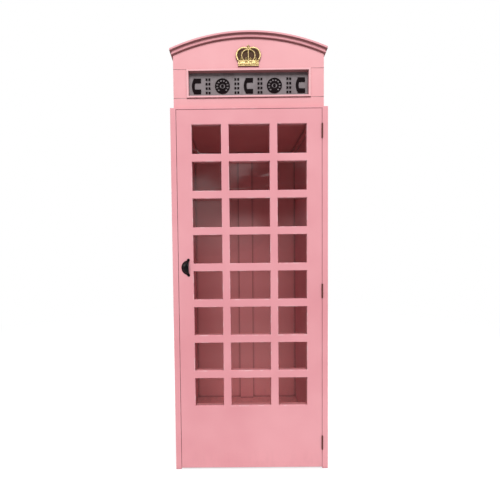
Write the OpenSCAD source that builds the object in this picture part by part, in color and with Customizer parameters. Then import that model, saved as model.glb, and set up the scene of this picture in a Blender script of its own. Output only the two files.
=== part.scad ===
// Telephone booth: a framed and boarded square carcase, an arched header box
// with a sign, and one glazed door on three butt hinges.
// The origin is on the floor at the centre of the carcase, +Z is up and the
// door faces -Y. All sizes are in millimetres.

/* [Booth] */
// Width of the carcase across its corner posts
booth_w = 780; // [640:10:960]
// Depth of the carcase, without the hinge knuckles and the pull
booth_d = 780; // [500:10:960]
// Height of the corner posts
body_h = 1830; // [1500:10:2200]

/* [Carcase] */
// Width of a corner post, seen from the front; the side walls are as thick
post_w = 28; // [24:1:40]
// Depth of a corner post
post_d = 60; // [45:1:90]
// Height of the top rails
top_rail_h = 60; // [50:1:90]
// Height of the middle rails
middle_rail_h = 90; // [60:1:120]
// Height of the bottom rails
bottom_rail_h = 120; // [80:1:160]
// Height of the middle of the middle rails and of the seam between back panels
seam_z = 986; // [900:1:1050]
// Thickness of the wall boards and the back panels
board_t = 9; // [8:1:10]
// Number of boards in one side wall
side_boards = 8; // [6:1:10]
// Chamfer that makes the V joint between boards
v_joint = 2; // [1:0.5:2.5]
// Depth of the rebate that the boards lie in
board_lap = 12; // [8:1:16]
// Width of the batten over the joint in the back wall
batten_w = 92; // [60:1:110]
// Thickness of the batten
batten_t = 18; // [12:1:24]
// Thickness of the floor panel
floor_t = 12; // [9:1:18]
// Thickness of the bearers under the floor
bearer_t = 20; // [15:1:30]
// Width of the bearers under the floor
bearer_w = 60; // [45:1:80]

/* [Door] */
// Thickness of the door
door_t = 35; // [32:1:44]
// Gap between the door and each post
door_gap = 2; // [2:0.5:3]
// Height of the door's lower edge above the floor
door_sill = 8; // [5:1:20]
// Gap over the door
door_head_gap = 2; // [2:0.5:4]
// Width of the two stiles
stile_w = 75; // [68:1:90]
// Height of the door's top rail
door_top_h = 72; // [60:1:100]
// Height of the kick panel below the windows
kick_h = 323; // [250:1:420]
// Width of the window bars
bar_w = 39; // [34:1:45]
// Number of rows of windows
rows = 8; // [6:1:9]
// Width of the windows in the middle column
centre_pane_w = 202; // [150:1:230]
// Depth of the glass behind the door's front face
glass_set_back = 14; // [12:1:16]
// Thickness of the glass
glass_t = 3; // [3:1:4]
// Width of the rebate that the glass lies in
rebate_w = 8; // [7:1:10]
// Depth of the beads that hold the glass
bead_t = 12; // [10:1:13]
// Length of the tenons on the rails and bars
tenon_l = 18; // [12:1:24]

/* [Hinges] */
// Height of a hinge
hinge_h = 70; // [60:1:90]
// Width of one hinge leaf
leaf_w = 25; // [22:1:28]
// Thickness of a hinge leaf
leaf_t = 2; // [1.6:0.1:2.4]
// Radius of a hinge knuckle
knuckle_r = 3.5; // [3.2:0.1:4]
// Radius of a hinge pin
pin_r = 1.5; // [1.2:0.1:1.8]
// Depth of the top hinge's middle below the top of the door
hinge_from_top = 109; // [90:1:160]
// Height of the bottom hinge's middle above the door's lower edge
hinge_from_bottom = 128; // [90:1:180]
// Place of the middle hinge between the other two, as a share of their distance
hinge_middle_share = 0.495; // [0.4:0.005:0.6]

/* [Pull] */
// Height of the cup pull over its ears
pull_h = 90; // [76:1:100]
// Width of the pull's half-moon plate
pull_w = 39; // [32:1:42]
// How far the cup stands out from the door
pull_out = 25; // [20:1:30]
// Wall of the cup
pull_wall = 2.5; // [2:0.5:3]
// Width of the plate around the cup
pull_rim = 3; // [2:0.5:4]
// Radius of the two ears that hold the screws
ear_r = 7; // [5.5:0.5:8]

/* [Header] */
// How far the header box is set in from the carcase on each side
header_inset = 16; // [16:1:40]
// Thickness of the header's boards
header_t = 18; // [15:1:22]
// Thickness of the header's base board, which is the ceiling
ceiling_t = 15; // [12:1:18]
// Rise of the arched roof over half the width of the cornice
arch_rise = 81; // [60:1:110]
// Thickness of the bent roof sheet
roof_t = 6; // [4:1:9]
// Number of ribs under the roof sheet
roof_ribs_n = 2; // [1:1:4]
// Height of a rib at its crown
rib_h = 70; // [50:1:90]
// How far the cornice stands out from the header
cornice_out = 15; // [14:1:18]
// Height of the cornice
cornice_h = 30; // [28:1:36]

/* [Sign] */
// Height of the sign's opening
sign_h = 120; // [100:1:150]
// Distance of the opening from each side of the header
sign_margin = 76; // [60:1:110]
// Height of the opening above the carcase
sign_up = 63; // [45:1:90]
// Width of the frame around the opening
sign_frame_w = 10; // [8:1:16]
// How far the frame stands out
sign_frame_out = 6; // [4:1:8]
// Thickness of the sign panel
sign_panel_t = 4; // [3:1:6]
// Lap of the sign panel behind the header board
sign_lap = 12; // [10:1:16]
// Height of the raised symbols
symbol_h = 75; // [55:1:80]
// Thickness of the raised symbols
symbol_t = 4; // [2:1:6]

/* [Emblem] */
// Height of the crown emblem
crown_h = 106; // [80:1:130]
// Width of the crown emblem
crown_w = 126; // [100:1:150]
// Thickness of the crown's plate
crown_t = 7; // [5:1:9]
// Gap between the sign's frame and the crown
crown_gap = 11; // [8:1:25]
// Gap between the crown and the cornice
crown_top_gap = 30; // [12:1:50]

/* [Hidden] */
$fn = 48;

// Clearances
fit = 0.1;              // around screws and in let-in plates
pane_fit = 0.5;         // around each glass pane
pin_fit = 0.05;         // radial, between a hinge pin and its knuckles
knuckle_fit = 0.3;      // along the pin, and between a knuckle and the wood
stop_gap = 1;           // between the shut door and its stops
catch_gap = 0.3;        // between a magnet and its strike
groove_fit = 0.1;       // around a board's tongue
roof_fit = 0.2;         // under the bent roof sheet
hairline = 0.2;         // between wood that meets edge to edge within one sub-part
over = 1;               // how far a cut runs past the face that it cuts

// Carcase planes
half_w = booth_w / 2;
half_d = booth_d / 2;
in_x = half_w - post_w;
front_y = -half_d;
door_back_y = front_y + door_t;
stop_y = door_back_y + stop_gap;
post_in_y = half_d - post_d;
floor_z = bearer_t + floor_t;
back_rail_y = half_d - post_w;
back_face_y = back_rail_y - board_t;
batten_y = back_face_y - batten_t;
middle_rail_z = seam_z - middle_rail_h / 2;
top_rail_z = body_h - top_rail_h;
stop_w = 22;
stop_d = 24;
cleat_w = 22;
tongue_l = 4;
panel_ease = 3;         // chamfer along the seam between the back panels
head_strip_h = 8;
head_rail_z = body_h - head_strip_h - top_rail_h;

// Door
door_z = door_sill;
door_top_z = body_h - head_strip_h - door_head_gap;
door_half_w = in_x - door_gap;
window_half_w = door_half_w - stile_w;
window_z = door_z + kick_h;
window_top_z = door_top_z - door_top_h;
pane_h = (window_top_z - window_z - (rows - 1) * bar_w) / rows;
side_pane_w = window_half_w - centre_pane_w / 2 - bar_w;
upright_x = centre_pane_w / 2 + bar_w / 2;
stem_w = bar_w - 2 * rebate_w;
glass_y = front_y + glass_set_back;
tenon_t = 11;
tenon_y = glass_y + (door_t - glass_set_back - tenon_t) / 2;
bar_shoulder = 2;       // the bar's tenons are this much smaller on each side
kick_shoulders = [30, 40];      // below and above the kick panel's tenons
top_shoulders = [15, 12];       // below and above the top rail's tenons
bars_z = [for (i = [1:rows - 1]) window_z + i * (pane_h + bar_w) - bar_w / 2];
columns = [[-window_half_w, side_pane_w], [-centre_pane_w / 2, centre_pane_w],
    [window_half_w - side_pane_w, side_pane_w]];

// Hinges
pin_x = in_x - door_gap / 2;
pin_y = front_y - knuckle_r - knuckle_fit;
leaf_gap = 0.4;
let_in = leaf_t - (door_gap - leaf_gap) / 2;
knuckles = 5;
knuckle_l = hinge_h / knuckles;
hinge_top_z = door_top_z - hinge_from_top;
hinge_bottom_z = door_z + hinge_from_bottom;
hinges_z = [hinge_bottom_z, hinge_bottom_z + hinge_middle_share * (hinge_top_z - hinge_bottom_z),
    hinge_top_z];
leaf_screws = [-0.34, 0, 0.34] * hinge_h;
leaf_screw_share = 0.55;        // of a leaf's width, from its front edge to the screws
seat_run = 9;           // how far a leaf's seat is cut past the edge of the wood
pin_cap = 1.5;
leaf_front = 0.2;       // from the door's face to the front edge of a leaf

// Screws
wood_screw = [3.2, 1.6, 20];    // head radius, shank radius, length
small_screw = [2.6, 1.3, 12];
header_screw = [4.5, 2.4, 32];
slot_w = 0.7;           // of the cross in a screw's head
slot_depth = 0.8;
slot_share = 0.55;      // half the cross, as a share of the head's radius
strip_screws_share = 0.6;       // of the inner half width
cleat_screws_share = 0.7;       // of the cleat's width and the header's half depth

// Header
header_half_w = half_w - header_inset;
header_half_d = half_d - header_inset;
header_h = sign_up + sign_h + sign_frame_w + crown_gap + crown_h + crown_top_gap + cornice_h;
booth_h = body_h + header_h;
arch_half_w = header_half_w + cornice_out;
arch_r = (pow(arch_half_w, 2) + pow(arch_rise, 2)) / (2 * arch_rise);
arch_z = booth_h - arch_r;
cornice_lip = 2;
roof_r = arch_r - cornice_lip;
board_r = roof_r - roof_t - roof_fit;
rib_bottom_r = board_r - rib_h;
sign_half_w = header_half_w - sign_margin;
sign_z = body_h + sign_up;
panel_y = -header_half_d + header_t;
crown_z = sign_z + sign_h + sign_frame_w + crown_gap;
retainer_w = 10;
retainer_t = 6;
retainer_step = 2;      // from the opening's edge to the retainer's flange
seam_groove = 1.2;      // half the width of the V along the header's seams

// Pull
pull_z = bars_z[floor(len(bars_z) / 2)];
cup_w = pull_w - pull_rim;
cup_end = 3.5;          // from the cup's end to the middle of the ear
cup_half_h = pull_h / 2 - ear_r - cup_end;
pocket_end = 8;         // of solid plate between the pocket and the cup's end
cup_sink = (pow(cup_w, 2) - pow(pull_out, 2)) / (2 * pull_out);
cup_r = pull_out + cup_sink;
plate_t = 2;
ear_x = -3.5;
pull_shift = 2;         // of the pull from the stile's middle towards the post
pull_x = -door_half_w + stile_w / 2 + (pull_w - ear_x - ear_r) / 2 - pull_shift;
ear_z = pull_h / 2 - ear_r;

// Catches
catch_size = [14, 15, 46];
magnet_size = [8, 6, 38];
strike_t = 1.5;
strike_h = 40;
strike_shift = 1;       // away from the door's stop
strike_screws_share = 0.32;     // of the strike's height
catch_x = -in_x + stop_w;
catch_y = door_back_y + strike_t + catch_gap;
catch_shares = [0.12, 0.75];    // of the height of the windows
catches_z = [for (share = catch_shares) window_z + share * (window_top_z - window_z)];
magnet_x = catch_x + (catch_size[0] - magnet_size[0]) / 2;

paint = "lightpink";
metal = "dimgray";

// A box from its lowest corner to its highest corner
module span(low, high) {
    translate(low) cube(high - low);
}

// The same shape on the left and on the right
module both_sides() {
    children();
    mirror([1, 0, 0]) children();
}

// A countersunk screw whose head is flush with the origin; it points down -Z
module screw(size, play = 0) {
    head_r = size[0] + play;
    shank_r = size[1] + play;
    head_h = head_r - shank_r;
    difference() {
        union() {
            translate([0, 0, -head_h]) cylinder(h = head_h, r1 = shank_r, r2 = head_r);
            translate([0, 0, -size[2] - play]) cylinder(h = size[2] + play, r = shank_r);
        }
        if (play == 0) {
            for (a = [0, 90]) {
                rotate([0, 0, a]) translate([-head_r * slot_share, -slot_w / 2, -slot_depth])
                    cube([2 * head_r * slot_share, slot_w, slot_depth + over]);
            }
        }
    }
}

/* ---- carcase ---- */

// A corner post at +X; side is -1 at the front and 1 at the back
module post(side) {
    color(paint) difference() {
        span([in_x, side < 0 ? front_y : post_in_y, 0], [half_w, side < 0 ? -post_in_y : half_d, body_h]);
        translate([0, -side * board_lap, 0])
            span([in_x - over, side < 0 ? -post_in_y - 2 * board_lap : post_in_y,
                    bottom_rail_h - board_lap],
                [in_x + board_t, side < 0 ? -post_in_y : post_in_y + 2 * board_lap,
                    top_rail_z + board_lap]);
    }
}

module right_front_post() {
    color(paint) difference() {
        post(-1);
        hinge_cuts(in_x + let_in, 1);
    }
}

// A side rail at +X; low and high are its lower and upper edges, and the wall
// boards lie in a rebate along the edges that lap gives
module side_rail(low, high, lap_low, lap_high) {
    color(paint) difference() {
        span([in_x, -post_in_y, low], [half_w, post_in_y, high]);
        if (lap_high)
            span([in_x - over, -post_in_y - over, high - board_lap],
                [in_x + board_t, post_in_y + over, high + over]);
        if (lap_low)
            span([in_x - over, -post_in_y - over, low - over],
                [in_x + board_t, post_in_y + over, low + board_lap]);
    }
}

module side_middle_rail() {
    color(paint)
        span([in_x + board_t, -post_in_y, middle_rail_z],
            [half_w, post_in_y, middle_rail_z + middle_rail_h]);
}

// Plan of one tongued and grooved board, w wide along X and board_t thick; the
// V joint is on its outer face at board_t
module board_plan(w, first, last) {
    third = board_t / 3;
    groove = tongue_l + groove_fit;
    left = first ? [[0, board_t], [0, 0]] :
        [[v_joint, board_t], [0, board_t - v_joint], [0, 2 * third + groove_fit],
            [groove, 2 * third + groove_fit], [groove, third - groove_fit], [0, third - groove_fit], [0, 0]];
    edge = w - hairline;
    right = last ? [[w, 0], [w, board_t]] :
        [[edge, 0], [edge, third], [edge + tongue_l, third], [edge + tongue_l, 2 * third], [edge, 2 * third],
            [edge, board_t - v_joint], [edge - v_joint, board_t]];
    polygon(concat(left, right));
}

// The wall boards at +X
module side_wall_boards() {
    run = 2 * (post_in_y + board_lap);
    w = run / side_boards;
    low = bottom_rail_h - board_lap;
    color(paint) translate([in_x, run / 2, low]) rotate([0, 0, -90])
        for (i = [0:side_boards - 1])
            translate([i * w, 0, 0]) linear_extrude(top_rail_z + board_lap - low)
                board_plan(w, i == 0, i == side_boards - 1);
}

module back_rail(low, high) {
    color(paint) span([-in_x, back_rail_y, low], [in_x, half_d, high]);
}

// Two panels side by side, with their edges at the seam eased on the inside
module back_panels(low, high) {
    color(paint) both_sides() difference() {
        span([hairline / 2, back_face_y, low], [in_x, back_rail_y, high]);
        groove(back_face_y, seam_z, panel_ease, -over, in_x + over);
    }
}

// The space that a V groove along X takes out of a face at y
module groove(y, z, half, x_low, x_high) {
    side = half * sqrt(2);
    translate([x_low, y, z]) rotate([45, 0, 0]) translate([0, -side / 2, -side / 2])
        cube([x_high - x_low, side, side]);
}

module back_batten() {
    color(paint) span([-batten_w / 2, batten_y, floor_z], [batten_w / 2, back_face_y, body_h]);
}

module floor_bearers() {
    color("burlywood") for (y = [stop_y, -bearer_w / 2, back_rail_y - bearer_w])
        span([-in_x, y, 0], [in_x, y + bearer_w, bearer_t]);
}

module floor_panel() {
    color(paint) span([-in_x, stop_y, bearer_t], [in_x, back_rail_y, floor_z]);
}

module front_head_rail() {
    color(paint) difference() {
        span([-in_x, stop_y, head_rail_z], [in_x, stop_y + stop_d, body_h - head_strip_h]);
        header_screw_places(-1) screw(header_screw, fit);
    }
}

module head_strip() {
    color(paint) difference() {
        span([-in_x, front_y, body_h - head_strip_h], [in_x, stop_y + stop_d, body_h]);
        header_screw_places(-1) screw(header_screw, fit);
    }
}

module door_stops() {
    color(paint) both_sides()
        span([in_x - stop_w, stop_y, floor_z], [in_x, stop_y + stop_d, head_rail_z]);
}

module ceiling_cleats() {
    color(paint) difference() {
        both_sides() span([in_x - cleat_w, stop_y + stop_d, body_h - cleat_w], [in_x, back_face_y, body_h]);
        header_screw_places(0) screw(header_screw, fit);
    }
}

/* ---- header ---- */

// Where the header is screwed down: -1 in the head strip, 0 in the cleats
module header_screw_places(where) {
    z = body_h + ceiling_t;
    if (where == -1)
        for (x = [-1, 0, 1]) translate([x * strip_screws_share * in_x, stop_y + stop_d / 2, z]) children();
    else
        for (x = [-1, 1], y = [-1, 0, 1])
            translate([x * (in_x - cleat_screws_share * cleat_w), y * cleat_screws_share * header_half_d, z])
                children();
}

module header_base() {
    x = header_half_w - header_t;
    y = header_half_d - header_t;
    color(paint) difference() {
        span([-x, -y, body_h], [x, y, body_h + ceiling_t]);
        header_screw_places(-1) screw(header_screw, fit);
        header_screw_places(0) screw(header_screw, fit);
    }
}

module header_screws() {
    color(metal) {
        header_screw_places(-1) screw(header_screw);
        header_screw_places(0) screw(header_screw);
    }
}

// A rod of radius r along Y that fills the arch
module arch_rod(r, y_low, y_high) {
    translate([0, y_high, arch_z]) rotate([90, 0, 0]) cylinder(h = y_high - y_low, r = r, $fn = 180);
}

// An arched board across the header, its face at y_low
module arched_board(y_low, bottom_z, half) {
    color(paint) intersection() {
        arch_rod(board_r, y_low, y_low + header_t);
        span([-half, y_low - over, bottom_z], [half, y_low + header_t + over, booth_h + over]);
    }
}

// The front board, with the opening for the sign and a seam from each corner of
// the sign's frame to the board's edge
module header_front() {
    color(paint) difference() {
        arched_board(-header_half_d, body_h, header_half_w);
        span([-sign_half_w, -header_half_d - over, sign_z], [sign_half_w, panel_y + over, sign_z + sign_h]);
        both_sides() for (z = [sign_z - sign_frame_w, sign_z + sign_h + sign_frame_w])
            groove(-header_half_d, z, seam_groove, sign_half_w + sign_frame_w / 2, header_half_w + over);
    }
}

module header_back() {
    arched_board(header_half_d - header_t, body_h, header_half_w);
}

// The header's side board at +X, between the front and the back board
module header_side() {
    y = header_half_d - header_t;
    color(paint) intersection() {
        arch_rod(board_r, -y, y);
        span([header_half_w - header_t, -y, body_h], [header_half_w, y, booth_h]);
    }
}

module roof_ribs() {
    half = header_half_w - header_t;
    clear = 2 * (header_half_d - header_t);
    for (i = [1:roof_ribs_n]) {
        y = -clear / 2 + i * clear / (roof_ribs_n + 1) - header_t / 2;
        color("burlywood") difference() {
            arched_board(y, body_h + ceiling_t, half);
            arch_rod(rib_bottom_r, y - over, y + header_t + over);
        }
    }
}

module roof_sheet() {
    color(paint) intersection() {
        difference() {
            arch_rod(roof_r, -header_half_d, header_half_d);
            arch_rod(roof_r - roof_t, -header_half_d - over, header_half_d + over);
        }
        span([-header_half_w, -header_half_d, body_h], [header_half_w, header_half_d, booth_h]);
    }
}

// Cornice profile as [out, down]: a fascia, a cove and a bead
fascia_h = 0.3 * cornice_h;
quirk = 2.5;
cove_r = cornice_out - quirk - 6;
cove_top = fascia_h + 1.5;
bead_mid = cornice_h - 4.75;
bead_r = 4.75;
bead_out = 4;
cornice_profile = concat(
    [[0, 0], [cornice_out, 0], [cornice_out, fascia_h], [cornice_out - quirk, fascia_h]],
    [for (a = [0:15:90]) [cornice_out - quirk - cove_r * sin(a), cove_top + cove_r * (1 - cos(a))]],
    [for (a = [60:-15:-90]) [bead_out + bead_r * cos(a), bead_mid - bead_r * sin(a)]],
    [[0, cornice_h]]);

module cornice_front() {
    sweep = asin(arch_half_w / (arch_r - cornice_h)) + 2;
    reach = header_half_w + 2 * cornice_out;
    inner = header_half_w - header_half_d;
    color(paint) intersection() {
        translate([0, -header_half_d, arch_z]) rotate([90, 0, 0]) rotate([0, 0, 90 - sweep])
            rotate_extrude(angle = 2 * sweep, $fn = 180)
                polygon([for (p = cornice_profile) [arch_r - p[1], p[0]]]);
        translate([0, 0, body_h]) linear_extrude(header_h + over)
            polygon([[-header_half_w, -header_half_d], [-reach, -reach + inner],
                [reach, -reach + inner], [header_half_w, -header_half_d]]);
    }
}

// The cornice along +X: the same profile, raked to meet the arch at the mitre
module cornice_side() {
    reach = header_half_d + cornice_out;
    mitre = 2 * cornice_out;
    color(paint) intersection() {
        translate([0, reach, 0]) rotate([90, 0, 0]) linear_extrude(2 * reach)
            polygon([for (p = cornice_profile) let (x = header_half_w + p[0])
                [x, arch_z + sqrt(pow(arch_r - p[1], 2) - x * x)]]);
        translate([0, 0, body_h]) linear_extrude(header_h + over)
            polygon([[header_half_w, -header_half_d], [header_half_w + mitre, -header_half_d - mitre],
                [header_half_w + mitre, header_half_d + mitre], [header_half_w, header_half_d]]);
    }
}

/* ---- sign ---- */

// A frame of width w that starts out away from the sign's opening; it stands
// depth deep in front of y_face
module sign_ring(w, out, y_face, depth) {
    difference() {
        span([-sign_half_w - out - w, y_face - depth, sign_z - out - w],
            [sign_half_w + out + w, y_face, sign_z + sign_h + out + w]);
        span([-sign_half_w - out, y_face - depth - over, sign_z - out],
            [sign_half_w + out, y_face + over, sign_z + sign_h + out]);
    }
}

module sign_frame() {
    color("pink") sign_ring(sign_frame_w, 0, -header_half_d, sign_frame_out);
}

module sign_panel() {
    color("gray") span([-sign_half_w - sign_lap, panel_y, sign_z - sign_lap],
        [sign_half_w + sign_lap, panel_y + sign_panel_t, sign_z + sign_h + sign_lap]);
}

// The frame behind the header board that holds the panel: a foot around the
// panel and a flange over its edge
module sign_retainer() {
    depth = sign_panel_t + retainer_t;
    color("burlywood") difference() {
        sign_ring(sign_lap + retainer_w - retainer_step, retainer_step, panel_y + depth, depth);
        span([-sign_half_w - sign_lap - fit, panel_y - over, sign_z - sign_lap - fit],
            [sign_half_w + sign_lap + fit, panel_y + sign_panel_t, sign_z + sign_h + sign_lap + fit]);
    }
}

// Outline of a telephone handset standing upright, h high, its back to -X
handset_w = 0.62;
module handset(h) {
    r = h * 0.85;
    translate([-handset_w * h / 2, 0]) {
        intersection() {
            difference() {
                translate([r, 0]) circle(r = r, $fn = 96);
                translate([r + h * 0.02, 0]) circle(r = r - h * 0.17, $fn = 96);
            }
            translate([0, -h / 2]) square([h * 0.4, h]);
        }
        for (s = [-1, 1])
            translate([h * 0.12, s * h * 0.36 - h * 0.14]) square([h * 0.5, h * 0.28]);
    }
}

// A telephone dial: a ring of finger holes
module dial(h) {
    difference() {
        circle(d = h, $fn = 96);
        for (i = [0:9]) rotate([0, 0, i * 30 - 45]) translate([h * 0.36, 0]) circle(d = h * 0.15, $fn = 24);
        circle(d = h * 0.36, $fn = 48);
    }
    circle(d = h * 0.2, $fn = 48);
}

// Two columns of keys
keys_w = 0.32;
module keys(h) {
    key = h * 0.13;
    for (x = [-1, 1], i = [0:3])
        translate([x * (keys_w * h - key) / 2 - key / 2, -h / 2 + i * (h - key) / 3]) square(key);
}

symbol_kinds = [0, 2, 1, 2, 0, 2, 1, 2, 0];
symbol_widths = [handset_w, 1, keys_w] * symbol_h;
symbol_margin = 14;
symbol_drop = 4;        // of the row below the middle of the opening

// Total width of the first n symbols
function symbols_before(n) = n == 0 ? 0 : symbols_before(n - 1) + symbol_widths[symbol_kinds[n - 1]];

// Nine raised symbols in a row in place of lettering
module sign_symbols() {
    count = len(symbol_kinds);
    run = 2 * (sign_half_w - symbol_margin);
    gap = (run - symbols_before(count)) / (count - 1);
    color("black") translate([0, panel_y, sign_z + sign_h / 2 - symbol_drop]) rotate([90, 0, 0])
        for (i = [0:count - 1]) {
            kind = symbol_kinds[i];
            translate([-run / 2 + symbols_before(i) + i * gap + symbol_widths[kind] / 2, 0, 0])
                linear_extrude(symbol_t) {
                    if (kind == 0) handset(symbol_h);
                    if (kind == 1) dial(symbol_h);
                    if (kind == 2) keys(symbol_h);
                }
        }
}

/* ---- crown ---- */

// The crown's two rounded arches, its band and the ball at its top
arch_outer_r = 0.29 * crown_w;
arch_x = crown_w / 2 - arch_outer_r;
arch_mid_z = 0.45 * crown_h;
arch_w = 7;
band_half_w = 0.415 * crown_w;
band_h = 0.2 * crown_h;
ball_r = 0.07 * crown_h;
ball_z = 0.8 * crown_h;
crown_plate_t = 3;
crown_bead_r = 2.6;
crown_lap = 1;          // of the plate behind the arches and the band
crown_out = 1;          // how far beads and jewels stand out past the plate's front
band_edge_h = 4;
jewel_r = 0.035 * crown_w;
jewel_pitch = 0.17 * crown_w;
leaf_x = 0.22 * crown_w;
leaf_side = 0.1 * crown_w;

module crown_emblem() {
    color("gold") translate([0, -header_half_d, crown_z]) rotate([90, 0, 0]) {
        linear_extrude(crown_plate_t) {
            for (s = [-1, 1])
                translate([s * arch_x, arch_mid_z]) circle(r = arch_outer_r - crown_lap, $fn = 96);
            translate([-band_half_w + crown_lap, crown_lap]) square([2 * (band_half_w - crown_lap), band_h]);
        }
        crown_side();
        mirror([1, 0, 0]) crown_side();
        translate([-arch_w / 2, band_h - crown_lap, 0]) cube([arch_w, ball_z - band_h, crown_t - 2]);
        translate([-band_half_w, 0, 0]) cube([2 * band_half_w, band_h, crown_t - 3]);
        for (z = [0, band_h - band_edge_h])
            translate([-band_half_w - crown_lap, z, 0])
                cube([2 * (band_half_w + crown_lap), band_edge_h, crown_t]);
        for (i = [-2:2])
            translate([i * jewel_pitch, band_h / 2, 0]) cylinder(h = crown_t + crown_out, r = jewel_r);
        translate([0, ball_z, 0]) cylinder(h = crown_t + crown_out, r = ball_r);
        translate([0, crown_h - ball_r, 0]) rotate([0, 0, 45]) square_block(ball_r * sqrt(2));
    }
}

// One side of the crown: an arch with a row of beads, and a leaf on the band
module crown_side() {
    translate([arch_x, arch_mid_z, 0]) {
        linear_extrude(crown_t - 1) difference() {
            circle(r = arch_outer_r, $fn = 96);
            circle(r = arch_outer_r - arch_w, $fn = 96);
            translate([-2 * arch_outer_r, -3 * arch_outer_r - arch_mid_z + band_h - 2])
                square([4 * arch_outer_r, 3 * arch_outer_r]);
        }
        for (a = [-18:24:102]) rotate([0, 0, a]) translate([arch_outer_r - arch_w / 2, 0, 0])
            cylinder(h = crown_t + crown_out, r = crown_bead_r, $fn = 24);
    }
    translate([leaf_x, band_h + 0.8 * leaf_side, 0]) rotate([0, 0, 45]) square_block(leaf_side);
}

// A block as deep as the crown's plate with a square face
module square_block(side) {
    translate([-side / 2, -side / 2, 0]) cube([side, side, crown_t]);
}

/* ---- hinges ---- */

// A leaf's plate and its knuckles, at the first hinge's place along the pin;
// side is 1 for the post's leaf and -1 for the door's
module hinge_leaf(side) {
    own = side > 0 ? [0, 2, 4] : [1, 3];
    x = side * leaf_gap / 2;
    plate_front = front_y - pin_y + leaf_front;
    difference() {
        union() {
            span([min(x, x + side * leaf_t), plate_front, -hinge_h / 2],
                [max(x, x + side * leaf_t), plate_front + leaf_w, hinge_h / 2]);
            for (k = own) translate([0, 0, -hinge_h / 2 + k * knuckle_l + knuckle_fit / 2]) {
                cylinder(h = knuckle_l - knuckle_fit, r = knuckle_r);
                span([min(x, x + side * leaf_t), 0, 0],
                    [max(x, x + side * leaf_t), plate_front + over, knuckle_l - knuckle_fit]);
            }
        }
        cylinder(h = hinge_h + 2, r = pin_r + pin_fit, center = true);
        leaf_screw_places(side) screw(wood_screw, fit);
    }
}

// Screw places on a leaf; the head faces the other leaf
module leaf_screw_places(side) {
    for (z = leaf_screws)
        translate([side * leaf_gap / 2, front_y - pin_y + leaf_front + leaf_w * leaf_screw_share, z])
            rotate([0, -side * 90, 0]) children();
}

module at_hinges() {
    for (z = hinges_z) translate([pin_x, pin_y, z]) children();
}

module hinge_post_leaves() { color(metal) at_hinges() hinge_leaf(1); }
module hinge_door_leaves() { color(metal) at_hinges() hinge_leaf(-1); }
module hinge_post_screws() { color(metal) at_hinges() leaf_screw_places(1) screw(wood_screw); }
module hinge_door_screws() { color(metal) at_hinges() leaf_screw_places(-1) screw(wood_screw); }

module hinge_pins() {
    color(metal) at_hinges() {
        cylinder(h = hinge_h, r = pin_r, center = true);
        for (s = [0, 1]) mirror([0, 0, s]) translate([0, 0, hinge_h / 2])
            cylinder(h = pin_cap, r1 = pin_r + 1, r2 = pin_r);
    }
}

// Let-in seats and screw holes for one side's leaves; x is the seat's floor
module hinge_cuts(x, side) {
    for (z = hinges_z) {
        seat = leaf_w + leaf_front + fit;
        span([min(x, x - side * seat_run), front_y - over, z - hinge_h / 2 - fit],
            [max(x, x - side * seat_run), front_y + seat, z + hinge_h / 2 + fit]);
    }
    at_hinges() leaf_screw_places(side) screw(wood_screw, fit);
}

/* ---- door ---- */

// A stile at side -1 or 1 with the rebate for the glass and the mortises
module stile(side) {
    inner = side * window_half_w;
    outer = side * door_half_w;
    difference() {
        span([min(inner, outer), front_y, door_z], [max(inner, outer), door_back_y, door_top_z]);
        span([min(inner - side, inner + side * rebate_w), glass_y, window_z - rebate_w],
            [max(inner - side, inner + side * rebate_w), door_back_y + over, window_top_z + rebate_w]);
        rail_tenons(side);
        for (z = bars_z) bar_tenon(side, z);
    }
}

// The tenons of the top rail and the kick panel on one side
module rail_tenons(side) {
    a = side * (window_half_w - over);
    b = side * (window_half_w + 2 * tenon_l);
    for (z = [[door_z + kick_shoulders[0], window_z - kick_shoulders[1]],
            [window_top_z + top_shoulders[0], door_top_z - top_shoulders[1]]])
        span([min(a, b), tenon_y, z[0]], [max(a, b), tenon_y + tenon_t, z[1]]);
}

// The tenon of a cross bar, which starts at the rebate's floor
module bar_tenon(side, z) {
    a = side * (window_half_w + rebate_w - over);
    b = side * (window_half_w + rebate_w + tenon_l);
    half = stem_w / 2 - bar_shoulder;
    span([min(a, b), tenon_y, z - half], [max(a, b), tenon_y + tenon_t, z + half]);
}

// The tenon of an upright bar; end is 1 at the top rail and -1 at the kick panel
module upright_tenon(x, end) {
    z = end > 0 ? window_top_z + rebate_w : window_z - rebate_w;
    a = z - end;
    b = z + end * tenon_l;
    half = stem_w / 2 - bar_shoulder;
    span([x - half, tenon_y, min(a, b)], [x + half, tenon_y + tenon_t, max(a, b)]);
}

module door_hinge_stile() {
    color(paint) difference() {
        stile(1);
        hinge_cuts(door_half_w - let_in, -1);
    }
}

module door_lock_stile() {
    color(paint) difference() {
        stile(-1);
        at_pull() pull_screw_places() screw(small_screw, fit);
        strike_screw_places() screw(small_screw, fit);
    }
}

module door_top_rail() {
    color(paint) difference() {
        union() {
            span([-window_half_w, front_y, window_top_z], [window_half_w, door_back_y, door_top_z]);
            intersection() {
                union() { rail_tenons(-1); rail_tenons(1); }
                span([-booth_w, front_y, window_top_z], [booth_w, door_back_y, door_top_z]);
            }
        }
        span([-window_half_w - over, glass_y, window_top_z - over],
            [window_half_w + over, door_back_y + over, window_top_z + rebate_w]);
        for (x = [-upright_x, upright_x]) upright_tenon(x, 1);
    }
}

module door_kick_panel() {
    color(paint) difference() {
        union() {
            span([-window_half_w, front_y, door_z], [window_half_w, door_back_y, window_z]);
            intersection() {
                union() { rail_tenons(-1); rail_tenons(1); }
                span([-booth_w, front_y, door_z], [booth_w, door_back_y, window_z]);
            }
        }
        span([-window_half_w - over, glass_y, window_z - rebate_w],
            [window_half_w + over, door_back_y + over, window_z + over]);
        for (x = [-upright_x, upright_x]) upright_tenon(x, -1);
    }
}

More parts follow.
